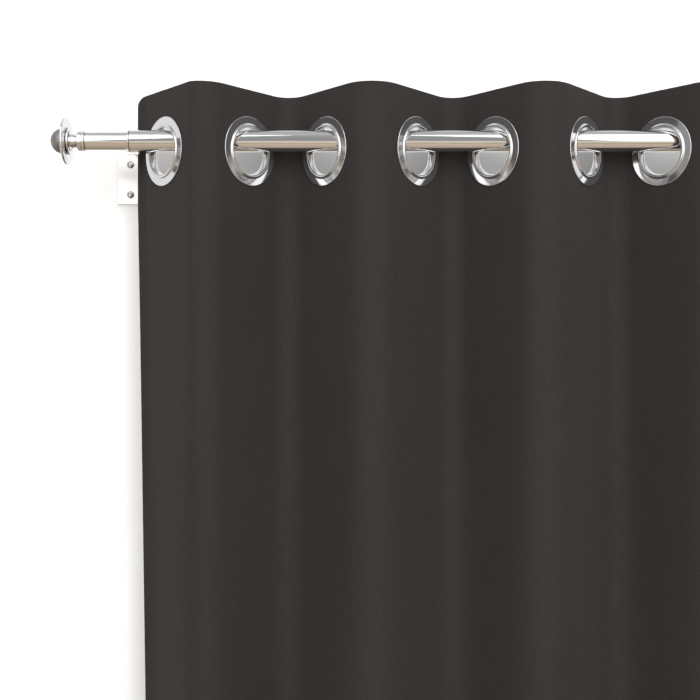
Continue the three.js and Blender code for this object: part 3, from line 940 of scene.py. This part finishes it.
def cut_eyelet_holes(bm, eyelets_here, u_layer, v_layer):
    """Opens the round holes in the flat cloth and draws the cut edge onto a circle."""
    for centre in eyelets_here:
        inside = [
            face for face in bm.faces
            if math.hypot(
                sum(vert[u_layer] for vert in face.verts) / len(face.verts) - centre,
                sum(vert[v_layer] for vert in face.verts) / len(face.verts) - eyelet_v,
            ) < CLOTH_HOLE
        ]
        bmesh.ops.delete(bm, geom=inside, context="FACES")
    for vert in [vert for vert in bm.verts if vert.is_boundary]:
        for centre in eyelets_here:
            across = vert[u_layer] - centre
            down = vert[v_layer] - eyelet_v
            reach = math.hypot(across, down)
            if 0.5 * CLOTH_HOLE < reach < 1.2 * CLOTH_HOLE:
                if abs(across) > 1e-6:
                    vert[u_layer] = centre + across * CLOTH_HOLE / reach
                vert[v_layer] = eyelet_v + down * CLOTH_HOLE / reach


def cloth_length(start, end, eyelets_here):
    """One length of the panel between two seams, as a closed thin shell."""
    near_seams = [seam + side * 0.0004 for seam in (start, end) for side in (-1, 1)]
    columns = stations(start, end, COLUMN_PITCH, side_extras + near_seams)
    bm = bmesh.new()
    bmesh.ops.create_grid(bm, x_segments=len(columns) - 1, y_segments=len(rows) - 1, size=0.5)
    u_layer = bm.verts.layers.float.new("u")
    v_layer = bm.verts.layers.float.new("v")
    middle = bm.verts.layers.float_vector.new("middle")
    outward = bm.verts.layers.float_vector.new("outward")
    for vert in bm.verts:
        vert[u_layer] = columns[round((vert.co.x + 0.5) * (len(columns) - 1))]
        vert[v_layer] = rows[round((0.5 - vert.co.y) * (len(rows) - 1))]
    cut_eyelet_holes(bm, eyelets_here, u_layer, v_layer)
    for vert in bm.verts:
        vert.co = cloth_point(vert[u_layer], vert[v_layer])
        vert[middle] = vert.co
    bm.normal_update()
    to_room = -1 if sum(face.normal.y for face in bm.faces) > 0 else 1
    for vert in bm.verts:
        vert[outward] = vert.normal * to_room
    bmesh.ops.solidify(bm, geom=list(bm.faces), thickness=CLOTH_THICKNESS)
    room_side = {
        vert for vert in bm.verts if abs((vert.co - vert[middle]).dot(vert[outward])) < CLOTH_HALF
    }
    for vert in bm.verts:
        u, v = vert[u_layer], vert[v_layer]
        if vert in room_side:
            vert.co = vert[middle] + vert[outward] * (CLOTH_HALF - stitch_depth(u, v))
        else:
            vert.co = vert[middle] - vert[outward] * (CLOTH_HALF + (HEM_FOLD if in_hem(u, v) else 0.0))
    bmesh.ops.recalc_face_normals(bm, faces=bm.faces)
    sheet_map = bm.loops.layers.uv.new("cloth")
    for face in bm.faces:
        for loop in face.loops:
            loop[sheet_map].uv = (loop.vert[u_layer], loop.vert[v_layer])
    round_outer_edges(bm, start, end, u_layer)
    return bm


def round_outer_edges(bm, start, end, u_layer):
    """Rounds the rims that show, and keeps every other rim sharp in the shading."""
    bm.normal_update()
    rims = [
        edge for edge in bm.edges
        if len(edge.link_faces) == 2 and edge.calc_face_angle(0) > math.radians(50)
    ]
    seam_lines = [line for line in (start, end) if 0.001 < line < CLOTH_WIDTH - 0.001]
    outer = [
        edge for edge in rims
        if all(abs(vert[u_layer] - line) > 0.0001 for vert in edge.verts for line in seam_lines)
    ]
    bmesh.ops.bevel(
        bm, geom=outer, offset=CLOTH_ROUND, offset_type="OFFSET", segments=3, profile=0.5,
        affect="EDGES", material=-1, clamp_overlap=True,
    )
    bm.normal_update()
    for edge in bm.edges:
        edge.smooth = edge.calc_face_angle(0) < math.radians(45)


def hang_cloth():
    ends = [0.0, *seams, CLOTH_WIDTH]
    made = []
    for index, (start, end) in enumerate(zip(ends, ends[1:])):
        here = [seam for seam in (start, end) if seam in seams]
        bm = cloth_length(start, end, here)
        left_fold = max(index, 1)
        right_fold = min(index + 1, EYELET_COUNT)
        nodes = sorted({f"fabric_fold_{left_fold}", f"fabric_fold_{right_fold}"})
        body = f"fold_{left_fold}" if left_fold == right_fold else None
        piece = finish_piece(
            f"curtain_cloth_{index + 1}", bm, charcoal, body, nodes, even_shading=False
        )
        if body is None:
            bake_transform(piece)
        made.append(piece)
    return made


cloth = hang_cloth()
print("cloth:", len(cloth), "lengths,", sum(len(piece.data.polygons) for piece in cloth), "faces")

# %% [markdown]
# ## The studio
#
# The wall behind is plain white, and it is there so that the holes of the eyelets show a shaded wall. It is
# clear from behind, so that it never hides the back of the curtain, and chrome doesn't reflect it. The floor
# just under the hem is a warm tan. Two tall soft boxes stand either side of the camera, with a gap between
# them, and give the chrome its bright bands. A wide fill light in front brightens the cloth and the wall
# without showing in any reflection.
#
# The rest of what the chrome shows comes from the world: white from the wall's direction, greys from the
# room and the ceiling, and a far, warm floor below the horizon, which makes the tan band along the underside
# of the pole.

# %% Studio materials
def wall_material():
    material, shader = new_material("matt white wall", Roughness=0.9, Base_Color=(0.66, 0.66, 0.66, 1))
    clear = add_node(material, "ShaderNodeBsdfTransparent")
    back = add_node(material, "ShaderNodeNewGeometry").outputs["Backfacing"]
    mix = add_node(material, "ShaderNodeMixShader", {0: back, 1: shader.outputs[0], 2: clear.outputs[0]})
    link(material, mix.outputs[0], material.node_tree.nodes["Material Output"].inputs["Surface"])
    return material


DARKER_TAN = (0.315, 0.252, 0.187)
LIGHTER_TAN = (0.335, 0.268, 0.200)


def floor_material():
    material, shader = new_material("pale warm floor", Roughness=0.8)
    grain = add_node(material, "ShaderNodeTexNoise", {"Vector": object_coordinates(material), "Scale": 3.0})
    colours = ramp(material, grain.outputs["Fac"], [(0.35, DARKER_TAN), (0.65, LIGHTER_TAN)])
    link(material, colours, shader.inputs["Base Color"])
    return material


# %% Wall and floor
FLOOR_GAP = 0.015
WALL_GAP = 0.0006
STAGE_SIZE = 8.0


def stage_plane(name, matrix, material):
    bm = bmesh.new()
    bmesh.ops.create_grid(bm, x_segments=1, y_segments=1, size=STAGE_SIZE / 2)
    bm.transform(matrix)
    mesh = bpy.data.meshes.new(name)
    bm.to_mesh(mesh)
    bm.free()
    mesh.materials.append(material)
    plane = bpy.data.objects.new(name, mesh)
    scene.collection.objects.link(plane)
    return plane


middle_x = (tube_low.x + tube_high.x) / 2
floor_z = cloth_bottom - FLOOR_GAP
stage_plane("floor", Matrix.Translation((middle_x, 0, floor_z)), floor_material())
wall_place = Matrix.Translation((middle_x, WALL_GAP, floor_z + STAGE_SIZE / 2))
wall = stage_plane("wall", wall_place @ Matrix.Rotation(math.pi / 2, 4, "X"), wall_material())
wall.visible_shadow = False
wall.visible_diffuse = False
wall.visible_glossy = False
print("studio: floor at", round(floor_z, 4))


# %% Lights
def soft_box(name, place, target, width, height, watts):
    light = bpy.data.lights.new(name, "AREA")
    light.shape = "RECTANGLE"
    light.size = width
    light.size_y = height
    light.energy = watts
    lamp = bpy.data.objects.new(name, light)
    lamp.location = place
    lamp.rotation_euler = (Vector(target) - Vector(place)).to_track_quat("-Z", "Y").to_euler()
    lamp.visible_camera = False
    scene.collection.objects.link(lamp)
    return lamp


aim = (camera.location.x, pole_y, pole_z - 0.3)
for side_name, side_sign, watts in (("left", -1, 31), ("right", 1, 39)):
    stand = (aim[0] + side_sign * 1.30, pole_y - 2.1, 1.0)
    soft_box(f"{side_name} soft box", stand, aim, 1.6, 3.5, watts)
fill = soft_box("front fill", (aim[0] + 0.3, pole_y - 3.2, 0.7), aim, 2.4, 2.4, 142)
fill.visible_glossy = False
print("lights: two soft boxes and a front fill, aimed at", [round(value, 3) for value in aim])

# %% The world that chrome reflects
FAR_FLOOR = (0.72, 0.64, 0.53)
SKY = [                     # from straight down, 0, through the horizon, 0.5, to straight up, 1
    (0.42, FAR_FLOOR), (0.44, 0.29), (0.65, 0.32), (0.81, 0.355), (0.885, 0.39),
    (0.94, 0.47), (0.984, 0.55), (0.995, 0.44),
]
BEHIND = [(0.0, 0.0), (0.16, 1.0)]      # white where the direction runs to the wall, +Y,
LEVEL = [(0.82, 1.0), (0.90, 0.0)]      # and isn't too near to straight up or down

world = bpy.data.worlds.new("studio")
world.use_nodes = True
direction = add_node(world, "ShaderNodeTexCoord").outputs["Generated"]
axes = add_node(world, "ShaderNodeSeparateXYZ", {"Vector": direction})
height = axes.outputs["Z"]
upward = add_node(world, "ShaderNodeMath", {0: height, 1: 0.5, 2: 0.5}, operation="MULTIPLY_ADD")
sky = ramp(world, upward.outputs[0], SKY)
behind = ramp(world, axes.outputs["Y"], BEHIND)
tilt = add_node(world, "ShaderNodeMath", {0: height}, operation="ABSOLUTE").outputs[0]
level = ramp(world, tilt, LEVEL)
white = add_node(world, "ShaderNodeMath", {0: behind, 1: level}, operation="MULTIPLY").outputs[0]
seen = add_node(world, "ShaderNodeMix", {0: white, 6: sky, 7: (1, 1, 1, 1)}, data_type="RGBA")
link(world, seen.outputs[2], world.node_tree.nodes["Background"].inputs["Color"])
scene.world = world
print("world:", world.name)
